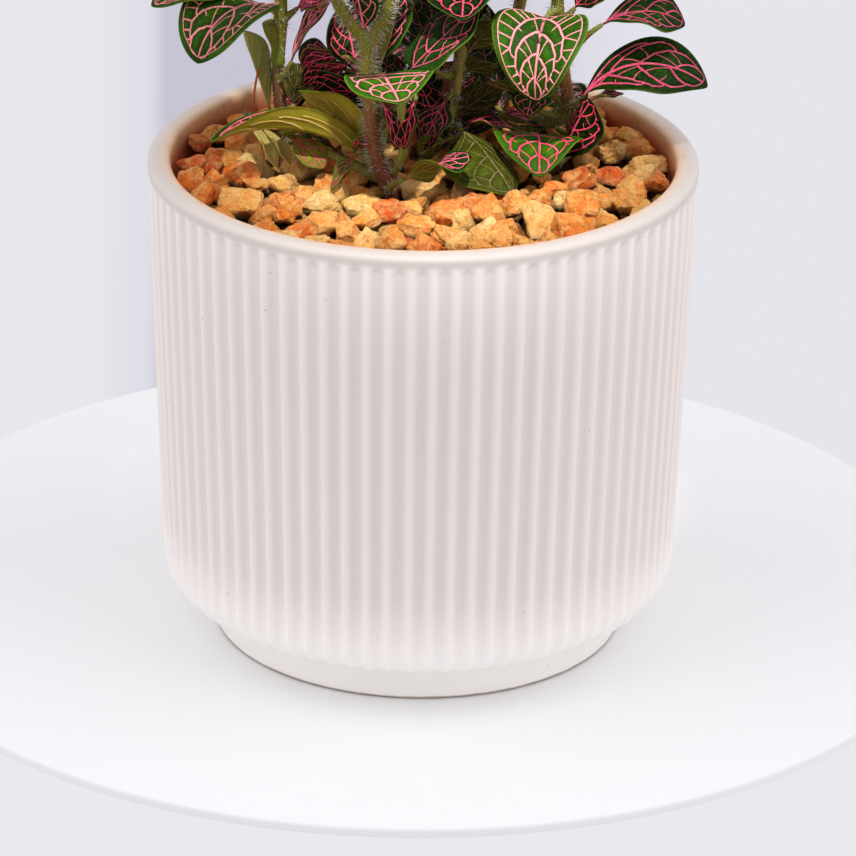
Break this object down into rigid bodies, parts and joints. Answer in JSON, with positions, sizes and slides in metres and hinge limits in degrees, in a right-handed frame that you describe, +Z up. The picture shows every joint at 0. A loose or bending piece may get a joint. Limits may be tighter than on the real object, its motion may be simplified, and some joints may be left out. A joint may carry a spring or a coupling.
{
  "type": "potted nerve plant",
  "caption": "Small nerve plant with broad veined leaves on upright stems, in a ribbed round ceramic pot topped with crushed stone.",
  "frame": {"origin": "on the pot's axis, in the plane that the foot ring stands on", "axes": "+Z up along the pot's axis, -Y towards the front as pictured, +X to the right"},
  "size_m": [0.1327, 0.1323, 0.2159],
  "materials": {
    "pot": "satin",
    "soil": "matte",
    "gravel": "matte",
    "foliage": "satin"
  },
  "bodies": {
    "root": {"pot": "pot", "soil": "soil", "gravel": "gravel", "leafy_stem_left": "foliage", "leafy_stem_front": "foliage", "leafy_stem_middle": "foliage", "leafy_stem_right": "foliage", "leafy_stem_back_left": "foliage", "leafy_stem_back_right": "foliage"}
  },
  "joints": []
}
